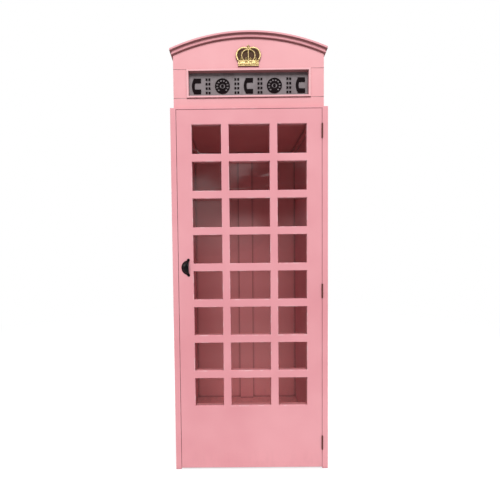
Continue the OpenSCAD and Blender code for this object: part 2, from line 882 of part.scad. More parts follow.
// Cross bars run through at the front; the uprights run through at the back
module door_cross_bars() {
    end_x = window_half_w + rebate_w;
    color(paint) for (z = bars_z) {
        difference() {
            union() {
                span([-window_half_w, front_y, z - bar_w / 2], [window_half_w, glass_y, z + bar_w / 2]);
                span([-end_x, glass_y, z - stem_w / 2], [end_x, door_back_y, z + stem_w / 2]);
                bar_tenon(-1, z);
                bar_tenon(1, z);
            }
            for (x = [-upright_x, upright_x])
                span([x - stem_w / 2, glass_y, z - bar_w], [x + stem_w / 2, door_back_y + over, z + bar_w]);
        }
    }
}

module door_upright_bars() {
    color(paint) for (x = [-upright_x, upright_x]) {
        span([x - stem_w / 2, glass_y, window_z - rebate_w],
            [x + stem_w / 2, door_back_y, window_top_z + rebate_w]);
        upright_tenon(x, 1);
        upright_tenon(x, -1);
        for (r = [0:rows - 1]) {
            z = window_z + r * (pane_h + bar_w);
            span([x - bar_w / 2, front_y, z], [x + bar_w / 2, glass_y, z + pane_h]);
        }
    }
}

// Every window as [x, z, width, height] of its rebate
module at_windows() {
    for (c = columns, r = [0:rows - 1]) {
        x = c[0] - rebate_w;
        z = window_z + r * (pane_h + bar_w) - rebate_w;
        $pane_w = c[1] + 2 * rebate_w;
        $pane_h = pane_h + 2 * rebate_w;
        translate([x, glass_y, z]) children();
    }
}

module window_panes() {
    color("lightblue", 0.4) at_windows()
        span([pane_fit, 0, pane_fit], [$pane_w - pane_fit, glass_t, $pane_h - pane_fit]);
}

module glazing_beads() {
    y = glass_t;
    color(paint) at_windows() {
        for (z = [0, $pane_h - rebate_w]) span([0, y, z], [$pane_w, y + bead_t, z + rebate_w]);
        for (x = [0, $pane_w - rebate_w])
            span([x, y, rebate_w + hairline], [x + rebate_w, y + bead_t, $pane_h - rebate_w - hairline]);
    }
}

/* ---- pull ---- */

// Children are drawn with the pull's flat side at x = 0 and the door at y = 0
module at_pull() {
    translate([pull_x, front_y, pull_z]) children();
}

module pull_screw_places() {
    for (s = [-1, 1]) translate([ear_x, -plate_t, s * ear_z]) rotate([90, 0, 0]) children();
}

// The solid dome, shrunk by in on every side
module cup_dome(in) {
    rho = (pow(cup_half_h, 2) + pow(pull_out, 2)) / (2 * pull_out);
    translate([0, cup_sink, 0]) rotate_extrude($fn = 96) intersection() {
        translate([cup_r - rho, 0]) circle(r = rho - in, $fn = 96);
        translate([0, -cup_half_h]) square([cup_r, 2 * cup_half_h]);
    }
}

module cup_pull() {
    plate_half_h = cup_half_h + pull_rim;
    pocket_half_h = cup_half_h - pocket_end;
    plate_r = (pow(plate_half_h, 2) + pow(pull_w, 2)) / (2 * pull_w);
    color("black") at_pull() difference() {
        union() {
            difference() {
                cup_dome(0);
                cup_dome(pull_wall);
                span([0, -booth_w, -pull_h], [booth_w, booth_w, pull_h]);
                span([-booth_w, 0, -pull_h], [booth_w, booth_w, pull_h]);
            }
            rotate([90, 0, 0]) linear_extrude(plate_t) difference() {
                union() {
                    intersection() {
                        translate([plate_r - pull_w, 0]) circle(r = plate_r, $fn = 96);
                        translate([-pull_w, -pull_h / 2]) square([pull_w, pull_h]);
                    }
                    for (s = [-1, 1]) translate([ear_x, s * ear_z]) circle(r = ear_r);
                }
                intersection() {
                    translate([plate_r - pull_w + pull_rim + pull_wall, 0]) circle(r = plate_r, $fn = 96);
                    translate([-pull_w, -pocket_half_h]) square([2 * pull_w, 2 * pocket_half_h]);
                }
            }
        }
        pull_screw_places() screw(small_screw, fit);
    }
}

module pull_screws() {
    color("black") at_pull() pull_screw_places() screw(small_screw);
}

/* ---- catches ---- */

// Magnetic catches on the lock side's stop, and their strikes on the door
module catch_bodies() {
    color("white") for (z = catches_z) difference() {
        translate([catch_x, catch_y, z - catch_size[2] / 2]) cube(catch_size);
        translate([magnet_x - fit, catch_y - over, z - magnet_size[2] / 2 - fit])
            cube([magnet_size[0] + 2 * fit, magnet_size[1] + over, magnet_size[2] + 2 * fit]);
    }
}

module catch_magnets() {
    color(metal) for (z = catches_z)
        translate([magnet_x, catch_y, z - magnet_size[2] / 2]) cube(magnet_size);
}

module strike_screw_places() {
    for (z = catches_z, s = [-1, 1])
        translate([catch_x + catch_size[0] / 2 + strike_shift, door_back_y + strike_t,
                z + s * strike_h * strike_screws_share])
            rotate([-90, 0, 0]) children();
}

module catch_strikes() {
    color("silver") difference() {
        for (z = catches_z)
            span([catch_x + strike_shift, door_back_y, z - strike_h / 2],
                [catch_x + catch_size[0] + strike_shift, door_back_y + strike_t, z + strike_h / 2]);
        strike_screw_places() screw(small_screw, fit);
    }
}

module strike_screws() {
    color(metal) strike_screw_places() screw(small_screw);
}

mirror([1, 0, 0]) post(-1);  // left_front_post
right_front_post();
mirror([1, 0, 0]) post(1);  // left_back_post
post(1);  // right_back_post
mirror([1, 0, 0]) side_rail(top_rail_z, body_h, true, false);  // left_top_rail
mirror([1, 0, 0]) side_middle_rail();  // left_middle_rail
mirror([1, 0, 0]) side_rail(0, bottom_rail_h, false, true);  // left_bottom_rail
mirror([1, 0, 0]) side_wall_boards();  // left_wall_boards
side_rail(top_rail_z, body_h, true, false);  // right_top_rail
side_middle_rail();  // right_middle_rail
side_rail(0, bottom_rail_h, false, true);  // right_bottom_rail
side_wall_boards();  // right_wall_boards
back_rail(top_rail_z, body_h);  // back_top_rail
back_rail(middle_rail_z, middle_rail_z + middle_rail_h);  // back_middle_rail
back_rail(0, bottom_rail_h);  // back_bottom_rail
back_panels(seam_z, body_h);  // back_upper_panels
back_panels(floor_z, seam_z);  // back_lower_panels
back_batten();
floor_bearers();
floor_panel();
front_head_rail();
head_strip();
door_stops();
ceiling_cleats();
header_base();
header_front();
header_back();
mirror([1, 0, 0]) header_side();  // header_left_side
header_side();  // header_right_side
roof_ribs();
roof_sheet();
cornice_front();
mirror([0, 1, 0]) cornice_front();  // cornice_back
mirror([1, 0, 0]) cornice_side();  // cornice_left
cornice_side();  // cornice_right
sign_frame();
sign_panel();
sign_symbols();
sign_retainer();
crown_emblem();
header_screws();
hinge_post_leaves();
hinge_pins();
hinge_post_screws();
catch_bodies();
catch_magnets();
door_hinge_stile();
door_lock_stile();
door_top_rail();
door_kick_panel();
door_cross_bars();
door_upright_bars();
window_panes();
glazing_beads();
hinge_door_leaves();
hinge_door_screws();
cup_pull();
pull_screws();
catch_strikes();
strike_screws();
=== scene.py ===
"""Looks for the telephone booth: painted timber, glazing, sign, crown and ironwork.

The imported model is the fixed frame. Timber that shows is copied from its CAD
node, merged and given eased edges; the other nodes keep their meshes and get
their own finishes.
"""
import logging
import math
from collections.abc import Callable
from dataclasses import dataclass
from enum import Enum

import bmesh
import bpy
from mathutils import Matrix, Vector


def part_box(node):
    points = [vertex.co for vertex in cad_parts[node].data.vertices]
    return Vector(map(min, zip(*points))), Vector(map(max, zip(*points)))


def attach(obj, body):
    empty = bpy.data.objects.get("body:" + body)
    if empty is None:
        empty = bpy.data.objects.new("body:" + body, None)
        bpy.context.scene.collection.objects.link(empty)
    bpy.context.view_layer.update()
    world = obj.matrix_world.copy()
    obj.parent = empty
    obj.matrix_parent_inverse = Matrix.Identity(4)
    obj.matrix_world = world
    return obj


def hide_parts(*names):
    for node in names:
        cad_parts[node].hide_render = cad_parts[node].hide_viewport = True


Colour = tuple[float, float, float]
Spot = tuple[float, float]
Reading = "Signal | float"

log = logging.getLogger("booth")
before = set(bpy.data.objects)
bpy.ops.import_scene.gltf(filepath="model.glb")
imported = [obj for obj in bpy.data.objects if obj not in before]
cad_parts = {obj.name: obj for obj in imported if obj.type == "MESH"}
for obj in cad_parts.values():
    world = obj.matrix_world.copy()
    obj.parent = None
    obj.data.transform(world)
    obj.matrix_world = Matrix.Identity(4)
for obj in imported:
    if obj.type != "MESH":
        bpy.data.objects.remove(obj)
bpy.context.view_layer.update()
EDGE_MARK = "eased_edge"
SIDES = ("left", "right")
LEVELS = ("top", "middle", "bottom")
BLACK: Colour = (0.0, 0.0, 0.0)
WHITE: Colour = (1.0, 1.0, 1.0)
FACING_OUT = Matrix.Rotation(math.pi / 2, 4, "X")
LYING_ACROSS = Matrix.Rotation(math.pi / 2, 4, "Y")


class Grain(Enum):
    """The direction that a member's grain and brush marks run in."""

    ACROSS = (9.0, 320.0, 320.0)
    DEEP = (320.0, 9.0, 320.0)
    UPRIGHT = (320.0, 320.0, 9.0)


class Signal:
    """A number that varies over a surface; arithmetic on it adds Math nodes."""

    def __init__(self, tree: "FinishTree", socket: bpy.types.NodeSocket) -> None:
        """Wrap one output socket of a finish's node tree."""
        self.tree = tree
        self.socket = socket

    def _math(self, operation: str, first: Reading, second: Reading) -> "Signal":
        """Add one Math node.

        Args:
            operation: Blender's name for the operation.
            first: The left value.
            second: The right value.

        Returns:
            The node's result.
        """
        return self.tree.node("ShaderNodeMath", {"operation": operation}, {0: first, 1: second})

    def __add__(self, other: Reading) -> "Signal":
        """Return self + other."""
        return self._math("ADD", self, other)

    def __radd__(self, other: Reading) -> "Signal":
        """Return other + self."""
        return self._math("ADD", other, self)

    def __sub__(self, other: Reading) -> "Signal":
        """Return self - other."""
        return self._math("SUBTRACT", self, other)

    def __rsub__(self, other: Reading) -> "Signal":
        """Return other - self."""
        return self._math("SUBTRACT", other, self)

    def __mul__(self, other: Reading) -> "Signal":
        """Return self * other."""
        return self._math("MULTIPLY", self, other)

    def __rmul__(self, other: Reading) -> "Signal":
        """Return other * self."""
        return self._math("MULTIPLY", other, self)

    def __truediv__(self, other: Reading) -> "Signal":
        """Return self / other."""
        return self._math("DIVIDE", self, other)

    def __rtruediv__(self, other: Reading) -> "Signal":
        """Return other / self."""
        return self._math("DIVIDE", other, self)

    def between(self, low: float, high: float) -> "Signal":
        """Rise smoothly from 0 to 1 as this value goes from low to high.

        Args:
            low: The value where the result leaves 0.
            high: The value where the result reaches 1.

        Returns:
            A value from 0 to 1.
        """
        return self.tree.node("ShaderNodeMapRange", {"interpolation_type": "SMOOTHSTEP"},
                              {"Value": self, "From Min": low, "From Max": high})


class FinishTree:
    """One material's node tree while it is being put together."""

    def __init__(self, name: str) -> None:
        """Start an empty material.

        Args:
            name: The finish's name.
        """
        self.material = bpy.data.materials.new(name)
        self.material.use_nodes = True
        self.nodes = self.material.node_tree.nodes
        self.links = self.material.node_tree.links
        self.nodes.clear()
        self.out = self.nodes.new("ShaderNodeOutputMaterial")
        self._place: Signal | None = None

    def node(self, kind: str, settings: dict | None = None, inputs: dict | None = None,
             output: str | int = 0) -> Signal:
        """Add any node.

        Args:
            kind: The node's type.
            settings: Its properties, set first.
            inputs: Values or signals for its sockets, by name or number.
            output: The socket to return.

        Returns:
            The chosen output.
        """
        made = self.nodes.new(kind)
        for key, value in (settings or {}).items():
            setattr(made, key, value)
        for key, value in (inputs or {}).items():
            if isinstance(value, Signal):
                self.links.new(value.socket, made.inputs[key])
            else:
                made.inputs[key].default_value = value
        return Signal(self, made.outputs[output])

    def place(self) -> Signal:
        """Return the surface's own place on the booth, in metres."""
        if self._place is None:
            self._place = self.node("ShaderNodeTexCoord", output="Object")
        return self._place

    def along(self, axis: int) -> Signal:
        """Return the place along one axis: 0, 1 or 2 for X, Y or Z."""
        return self.node("ShaderNodeSeparateXYZ", None, {0: self.place()}, output=axis)

    def noise(self, scale: float | tuple[float, float, float], detail: float = 3.0,
              roughness: float = 0.5, shift: float = 0.0, warp: float = 0.0) -> Signal:
        """Return smooth noise from about 0.2 to 0.8.

        Args:
            scale: Features in a metre, for all axes or one each.
            detail: Octaves of finer noise.
            roughness: How strong the finer octaves are.
            shift: Moves the pattern, so that two finishes differ.
            warp: How much the noise twists itself.

        Returns:
            The noise value.
        """
        scales = scale if isinstance(scale, tuple) else (scale,) * 3
        where = self.node("ShaderNodeMapping", None,
                          {"Vector": self.place(), "Location": (shift,) * 3, "Scale": scales})
        return self.node("ShaderNodeTexNoise", None,
                         {"Vector": where, "Scale": 1.0, "Detail": detail, "Roughness": roughness,
                          "Distortion": warp})

    def mark(self) -> Signal:
        """Return 1 on eased edges and 0 elsewhere."""
        return self.node("ShaderNodeAttribute", {"attribute_name": EDGE_MARK}, output="Fac")

    def blend(self, amount: Reading, first: "Colour | Signal", second: "Colour | Signal") -> Signal:
        """Mix two colours.

        Args:
            amount: 0 gives the first and 1 the second.
            first: A colour.
            second: A colour.

        Returns:
            The mixed colour.
        """
        def full(colour: "Colour | Signal") -> "tuple | Signal":
            """Add opacity to a plain colour."""
            return colour if isinstance(colour, Signal) else (*colour, 1.0)
        return self.node("ShaderNodeMix", {"data_type": "RGBA", "clamp_factor": True},
                         {0: amount, 6: full(first), 7: full(second)}, output=2)

    def bump(self, height: Signal, depth: float, strength: float = 1.0) -> Signal:
        """Turn a height into a normal.

        Args:
            height: The height, from 0 to 1.
            depth: The depth of a height of 1, in metres.
            strength: How much of it shows.

        Returns:
            The bent normal.
        """
        return self.node("ShaderNodeBump", None,
                         {"Height": height, "Distance": depth, "Strength": strength})

    def shader(self, inputs: dict) -> Signal:
        """Add the main shader with the given socket values."""
        return self.node("ShaderNodeBsdfPrincipled", None, inputs)

    def finish(self, surface: Signal) -> bpy.types.Material:
        """Connect the surface and return the material."""
        self.links.new(surface.socket, self.out.inputs["Surface"])
        return self.material


PINK: Colour = (0.85, 0.37, 0.41)
HEADER_PINK: Colour = (0.90, 0.41, 0.44)
FRAME_PINK: Colour = (0.93, 0.48, 0.51)
INNER_PINK: Colour = (0.92, 0.375, 0.385)


def tinted(colour: Colour, by: Colour) -> Colour:
    """Return a colour with each channel multiplied, and none above 1."""
    return tuple(min(1.0, c * k) for c, k in zip(colour, by))


@dataclass(frozen=True)
class Coat:
    """The paint of one place, how it has aged and the shade painted into it.

    Attributes:
        colour: Its colour when fresh.
        scuffs: How much dirt shows near the ground.
        underside_shade: How much painted shade darkens the faces that look down.
        corners: How much painted shade darkens each shut-in corner.
        reach: How far out from a corner that painted shade goes, in metres.
    """

    colour: Colour
    scuffs: float = 0.06
    underside_shade: float = 0.0
    corners: float = 0.4
    reach: float = 0.014


@dataclass(frozen=True)
class PaintedTimber:
    """Satin paint over timber, brushed along the grain."""

    name: str
    coat: Coat
    grain: Grain
    shift: float
    roughness: float = 0.52
    foot: float = 0.16
    brush_depth: float = 0.00022
    deep: Colour = (0.93, 0.87, 0.88)
    light: Colour = (1.03, 1.08, 1.07)
    dirt: Colour = (0.30, 0.20, 0.17)
    # corner: the colour of the painted shade in each shut-in corner.
    corner: Colour = (0.16, 0.035, 0.035)
    # under: the colour of the painted shade on faces that look down.
    under: Colour = (0.26, 0.10, 0.10)

    def material(self) -> bpy.types.Material:
        """Build the paint.

        Returns:
            A material with brush marks, faint patches, scuffed feet, rubbed edges, and painted shade in each
            corner and on faces that look down.
        """
        t = FinishTree(self.name)
        fresh = self.coat.colour
        patches = t.noise(1.7, 3.0, 0.6)
        mottle = t.noise(23.0, 4.0, 0.6, self.shift + 3.1)
        marks = t.noise(self.grain.value, 4.0, 0.65, self.shift + 7.7)
        peel = t.noise(310.0, 2.0, 0.5, self.shift)
        deep = tinted(fresh, self.deep)
        paint = t.blend(patches.between(0.28, 0.72), deep, tinted(fresh, self.light))
        paint = t.blend(marks.between(0.45, 0.85) * 0.16, paint, deep)
        rubbed = t.mark() * mottle.between(0.5, 0.62)
        paint = t.blend(rubbed * 0.5, paint, tuple(0.45 + 0.55 * c for c in fresh))
        foot = 1.0 - t.along(2).between(0.0, self.foot)
        dirt = foot * t.noise((40.0, 40.0, 14.0), 5.0, 0.7, self.shift).between(0.42, 0.7)
        paint = t.blend(dirt * self.coat.scuffs, paint, self.dirt)
        # Painted shade: darker in each shut-in corner.
        paint = t.blend(self._painted_corner_shade(t), paint, self.corner)
        # Painted shade under things: faces that look down get darker.
        if self.coat.underside_shade:
            paint = t.blend(self._painted_underside_shade(t), paint, self.under)
        height = marks * 0.55 + peel * 0.3 + mottle * 0.4
        return t.finish(t.shader({
            "Base Color": paint,
            "Roughness": self.roughness + (mottle - 0.5) * 0.22 + dirt * 0.2,
            "Specular IOR Level": 0.3,
            "Normal": t.bump(height, self.brush_depth, 0.6)}))

    def _painted_corner_shade(self, t: FinishTree) -> Signal:
        """Return the painted shade: how dark a place in a corner is painted."""
        free = t.node("ShaderNodeAmbientOcclusion", {"samples": 6}, {"Distance": self.coat.reach}, "AO")
        return (1.0 - free).between(0.08, 0.55) * self.coat.corners

    def _painted_underside_shade(self, t: FinishTree) -> Signal:
        """Find the faces that look down, for painted shade under things.

        Args:
            t: The paint's node tree.

        Returns:
            How much painted shade each of them gets.
        """
        faces = t.node("ShaderNodeNewGeometry", output="True Normal")
        down = 0.0 - t.node("ShaderNodeSeparateXYZ", None, {0: faces}, output=2)
        return down.between(-0.1, 0.55) * self.coat.underside_shade


@dataclass(frozen=True)
class BareSoftwood:
    """Unpainted softwood with growth rings and open grain."""

    name: str
    grain: Grain
    early: Colour = (0.62, 0.42, 0.23)
    late: Colour = (0.42, 0.25, 0.12)
    pores: Colour = (0.30, 0.17, 0.08)

    def material(self) -> bpy.types.Material:
        """Build the wood.

        Returns:
            A material with stretched rings and open grain.
        """
        t = FinishTree(self.name)
        wide = tuple(6.0 if s < 100 else 90.0 for s in self.grain.value)
        rings = t.noise(wide, 4.0, 0.6, 1.3, 1.2)
        fibres = t.noise(self.grain.value, 3.0, 0.7, 4.4)
        colour = t.blend(rings.between(0.35, 0.68), self.early, self.late)
        colour = t.blend(fibres.between(0.4, 0.8) * 0.35, colour, self.pores)
        return t.finish(t.shader({
            "Base Color": colour,
            "Roughness": 0.62 + (fibres - 0.5) * 0.3,
            "Normal": t.bump(rings * 0.4 + fibres * 0.6, 0.0004, 0.8)}))


@dataclass(frozen=True)
class ClearSheet:
    """Thin clear acrylic that is not quite flat, with painted reflection: glossier streaks and haze between
    two heights.
    """

    name: str
    # The two heights between which the painted reflection lies.
    painted_reflection_band: tuple[float, float] = (1.38, 1.63)
    shift: float = 6.1
    tint: Colour = (0.97, 0.96, 0.96)
    sheen: Colour = (1.0, 0.98, 0.98)
    index: float = 1.49

    def material(self) -> bpy.types.Material:
        """Build the sheet.

        Returns:
            A see-through material with painted reflection: more gloss along wavy streaks and in a haze
            between two heights.
        """
        t = FinishTree(self.name)
        swell = t.noise((7.0, 7.0, 9.0), 2.0, 0.5, 2.2, 1.4)
        # Painted reflection: wavy lines, only between two heights, where the sheet reflects more.
        lines = t.noise((2.6, 2.6, 7.5), 2.0, 0.4, self.shift, 0.9)
        off_line = t.node("ShaderNodeMath", {"operation": "ABSOLUTE"}, {0: lines - 0.5})
        streak_line = 1.0 - off_line.between(0.0, 0.006)
        height = t.along(2)
        low, high = self.painted_reflection_band
        reflection_zone = height.between(low, low + 0.05) * (1.0 - height.between(high, high + 0.04))
        painted_streak = streak_line * reflection_zone * t.noise(9.0, 3.0, 0.6, 9.0).between(0.36, 0.6)
        painted_haze = t.noise((4.0, 4.0, 3.0), 1.0, 0.4, 5.0).between(0.3, 0.7)
        painted_haze = painted_haze * height.between(low - 0.4, low - 0.1) * (1.0 - height.between(high - 0.1, high))
        clear = t.node("ShaderNodeBsdfTransparent", None, {"Color": (*self.tint, 1.0)})
        gloss = t.node("ShaderNodeBsdfGlossy", None, {
            "Color": (*self.sheen, 1.0),
            "Roughness": 0.07 + (painted_streak + painted_haze) * 0.6,
            "Normal": t.bump(swell, 0.0012, 1.0)})
        facing = t.node("ShaderNodeFresnel", None, {"IOR": self.index})
        # The painted streaks and haze add to how much the sheet reflects.
        amount = facing * 0.3 + painted_streak * 0.08 + painted_haze * 0.014
        return t.finish(t.node("ShaderNodeMixShader", None, {0: amount, 1: clear, 2: gloss}))


@dataclass(frozen=True)
class SignSheet:
    """Grey sheet behind the sign's symbols."""

    name: str
    shade: Colour = (0.15, 0.115, 0.122)
    cloud: Colour = (0.26, 0.222, 0.232)
    speck: Colour = (0.5, 0.46, 0.46)

    def material(self) -> bpy.types.Material:
        """Build the sheet.

        Returns:
            A soft grey plastic with cloudy patches and pale specks.
        """
        t = FinishTree(self.name)
        cloud = t.noise((9.0, 9.0, 4.0), 4.0, 0.6, 1.9, 0.6)
        specks = t.noise(240.0, 2.0, 0.6, 3.0)
        colour = t.blend(cloud.between(0.3, 0.7), self.shade, self.cloud)
        colour = t.blend(specks.between(0.62, 0.72) * 0.3, colour, self.speck)
        return t.finish(t.shader({
            "Base Color": colour,
            "Roughness": 0.5 + (cloud - 0.5) * 0.3,
            "Specular IOR Level": 0.3,
            "Normal": t.bump(cloud + specks * 0.1, 0.0006, 0.5)}))


@dataclass(frozen=True)
class Enamel:
    """Hard coloured coat on metal or plastic: lacquer, gloss plastic or mouldings.

    Attributes:
        name: The finish's name.
        colour: The coat's colour.
        worn_colour: What shows where it has worn.
        roughness: How matt it is.
        wear: How much of it has worn.
        texture: The depth of its fine surface, in metres.
        metal: How metallic the worn parts are.
        gloss: The weight of a clear coat over it.
        shine: How strongly it reflects.
    """

    name: str
    colour: Colour
    worn_colour: Colour
    roughness: float = 0.3
    wear: float = 0.5
    texture: float = 0.00015
    metal: float = 0.0
    gloss: float = 0.2
    shine: float = 0.35

    def material(self) -> bpy.types.Material:
        """Build the coat.

        Returns:
            A material with fine texture and worn edges.
        """
        t = FinishTree(self.name)
        fine = t.noise(420.0, 3.0, 0.6, 2.0)
        cloud = t.noise(55.0, 4.0, 0.6, 5.5)
        light = tuple(0.002 + 1.2 * c for c in self.colour)
        colour = t.blend(cloud.between(0.35, 0.7), self.colour, light)
        worn = (t.mark() * 0.7 + 0.06) * cloud.between(0.48, 0.66) * self.wear
        colour = t.blend(worn, colour, self.worn_colour)
        return t.finish(t.shader({
            "Base Color": colour,
            "Metallic": worn * self.metal,
            "Roughness": self.roughness + (cloud - 0.5) * 0.25,
            "Coat Weight": self.gloss,
            "Specular IOR Level": self.shine,
            "Normal": t.bump(fine * 0.6 + cloud, self.texture, 0.7)}))


@dataclass(frozen=True)
class WornSteel:
    """Steel hardware: bright, dulled or with rust blooming on it."""

    name: str
    steel: Colour
    rust: Colour = (0.19, 0.055, 0.035)
    rusted: float = 0.5
    roughness: float = 0.38

    def material(self) -> bpy.types.Material:
        """Build the metal.

        Returns:
            A brushed metal with patches of rust that are rough and not metallic.
        """
        t = FinishTree(self.name)
        brushed = t.noise((900.0, 900.0, 40.0), 2.0, 0.5)
        spread = (0.62 - 0.3 * self.rusted, 0.74 - 0.2 * self.rusted)
        bloom = t.noise(120.0, 5.0, 0.7, 3.3).between(*spread)
        bloom = bloom * min(1.0, self.rusted * 2.0)
        shade = tuple(0.7 * c for c in self.steel)
        colour = t.blend(bloom, t.blend(brushed.between(0.3, 0.7), shade, self.steel), self.rust)
        return t.finish(t.shader({
            "Base Color": colour,
            "Metallic": 0.95 - bloom * 0.9,
            "Roughness": self.roughness + bloom * 0.4 + (brushed - 0.5) * 0.2,
            "Normal": t.bump(brushed * 0.3 + bloom, 0.0002, 0.8)}))


@dataclass(frozen=True)
class Gilding:
    """Gilt casting: bright on what stands proud and brown in the recesses.

    Attributes:
        name: The finish's name.
        face_y: Where the board behind the casting is, in metres.
        relief: How far the casting stands out from it.
    """

    name: str
    face_y: float
    relief: float
    leaf: Colour = (0.50, 0.345, 0.13)
    bright_leaf: Colour = (0.76, 0.60, 0.31)
    recess: Colour = (0.055, 0.018, 0.01)
    tarnish: Colour = (0.30, 0.16, 0.06)

    def material(self) -> bpy.types.Material:
        """Build the gilding.

        Returns:
            A metal that darkens towards the plate behind the relief.
        """
        t = FinishTree(self.name)
        leaf = t.noise(160.0, 4.0, 0.6, 2.0)
        patina = t.noise(48.0, 4.0, 0.65, 6.0)
        proud = (self.face_y - t.along(1)) / self.relief
        low = 1.0 - (proud + (patina - 0.5) * 0.35).between(0.38, 0.62)
        gold = t.blend(leaf.between(0.3, 0.7), self.leaf, self.bright_leaf)
        colour = t.blend(low * 0.95, gold, self.recess)
        colour = t.blend(patina.between(0.58, 0.72) * 0.35, colour, self.tarnish)
        return t.finish(t.shader({
            "Base Color": colour,
            "Metallic": 0.7 - low * 0.7,
            "Specular IOR Level": 0.15,
            "Roughness": 0.34 + low * 0.3 + (leaf - 0.5) * 0.2,
            "Normal": t.bump(leaf * 0.5 + patina, 0.0006, 0.8)}))


@dataclass(frozen=True)
class StudioPaper:
    """Pale matt floor that goes white with distance.

    Attributes:
        name: The finish's name.
        colour: The paper's colour.
        glow: The light that it gives the eye near the booth.
        far_glow: The light that it gives the booth from far off.
        fade: How far out it starts and ends going white, in metres.
    """

    name: str
    colour: Colour
    glow: float = 0.5
    far_glow: float = 0.3
    fade: tuple[float, float] = (1.6, 4.5)

    def material(self) -> bpy.types.Material:
        """Build the floor's paper.

        Returns:
            A material with faint tooth and shade.
        """
        t = FinishTree(self.name)
        tooth = t.noise(60.0, 3.0, 0.6)
        broad = t.noise(0.6, 2.0, 0.5)
        darker = tuple(0.985 * c for c in self.colour)
        reach = t.node("ShaderNodeVectorMath", {"operation": "LENGTH"}, {0: t.place()}, output="Value")
        far = reach.between(*self.fade)
        seen = t.node("ShaderNodeLightPath", output="Is Camera Ray")
        glow = t.blend(seen, BLACK, (self.glow,) * 3)
        haze = t.blend(seen, (self.far_glow,) * 3, WHITE)
        return t.finish(t.shader({
            "Base Color": t.blend(far, t.blend(broad, self.colour, darker), BLACK),
            "Roughness": 0.85,
            "Specular IOR Level": 0.0,
            "Emission Color": t.blend(far, glow, haze),
            "Emission Strength": 1.0,
            "Normal": t.bump(tooth, 0.0004, 0.3)}))


class Place(Enum):
    """The places that are painted."""

    FRAME = "frame"
    BOARDS = "boards"
    INSIDE = "inside"
    FLOOR = "floor"
    HEADER = "header"
    CORNICE = "cornice"
    ROOF = "roof"
    SIGN_FRAME = "sign_frame"
    DOOR = "door"
    BEADS = "beads"


# corners and reach set the painted shade in each shut-in corner; grime sets the painted shade on faces that
# look down.
COATS: dict[Place, Coat] = {
    Place.FRAME: Coat(PINK),
    Place.BOARDS: Coat(PINK),
    Place.INSIDE: Coat(INNER_PINK, scuffs=0.2, corners=0.62, reach=0.024),
    Place.FLOOR: Coat(INNER_PINK, scuffs=0.3, corners=0.15),
    Place.HEADER: Coat(HEADER_PINK, underside_shade=0.8),
    Place.CORNICE: Coat(PINK, underside_shade=0.8, corners=0.9, reach=0.03),
    Place.ROOF: Coat(PINK),
    Place.SIGN_FRAME: Coat(FRAME_PINK, underside_shade=0.9),
    Place.DOOR: Coat(PINK),
    Place.BEADS: Coat(INNER_PINK),
}


class Paints:
    """The booth's paints, one for each place and grain direction."""

    def __init__(self) -> None:
        """Start with none made."""
        self._made: dict[tuple[Place, Grain], bpy.types.Material] = {}

    def get(self, place: Place, grain: Grain) -> bpy.types.Material:
        """Return the paint for a place, made once.

        Args:
            place: What is painted.
            grain: Which way it is brushed.

        Returns:
            The paint.
        """
        key = (place, grain)
        if key not in self._made:
            name = f"{place.value}_paint_{grain.name.lower()}"
            paint = PaintedTimber(name, COATS[place], grain, float(len(self._made)))
            self._made[key] = paint.material()
        return self._made[key]


def dress(node: str, *materials: bpy.types.Material) -> None:
    """Give a CAD node its finish.

    Args:
        node: The node's name.
        materials: One material, or one for each slot.
    """
    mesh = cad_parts[node].data
    mesh.materials.clear()
    for material in materials:
        mesh.materials.append(material)


def merged_copy(node: str) -> bmesh.types.BMesh:
    """Copy a CAD node's mesh with its doubles merged and flat faces joined.

    Args:
        node: The node's name.

    Returns:
        The copy.
    """
    bm = bmesh.new()
    bm.from_mesh(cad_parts[node].data)
    bmesh.ops.remove_doubles(bm, verts=bm.verts, dist=1e-6)
    bmesh.ops.dissolve_limit(bm, angle_limit=math.radians(0.5), verts=bm.verts, edges=bm.edges)
    return bm


def edges_at(verts: list[bmesh.types.BMVert]) -> list[bmesh.types.BMEdge]:
    """Return the edges that meet at some vertices, each once and always in the same order."""
    return list(dict.fromkeys(e for v in verts for e in v.link_edges))


def ease_edges(bm: bmesh.types.BMesh, width: float, segments: int = 2, shortest: float = 0.004,
               sharpest: float = 40.0, within: Callable[[Vector], bool] | None = None) -> None:
    """Round the outer edges of a mesh and mark the new faces.

    Args:
        bm: The mesh.
        width: How far the rounding runs along each face, in metres.
        segments: Steps in the rounding.
        shortest: Edges shorter than this stay sharp.
        sharpest: Faces that meet at less than this angle stay as they are.
        within: Tells whether an edge whose ends are here is wanted; all are if left out.
    """
    sharp = [e for e in bm.edges if len(e.link_faces) == 2 and e.is_convex
             and e.calc_length() > shortest and e.calc_face_angle(0.0) > math.radians(sharpest)
             and (within is None or all(within(v.co) for v in e.verts))]
    mark = bm.faces.layers.float.get(EDGE_MARK) or bm.faces.layers.float.new(EDGE_MARK)
    made = bmesh.ops.bevel(bm, geom=sharp, offset=width, offset_type="OFFSET", segments=segments,
                           profile=0.5, affect="EDGES", material=-1, clamp_overlap=True)
    for face in made["faces"]:
        face[mark] = 1.0


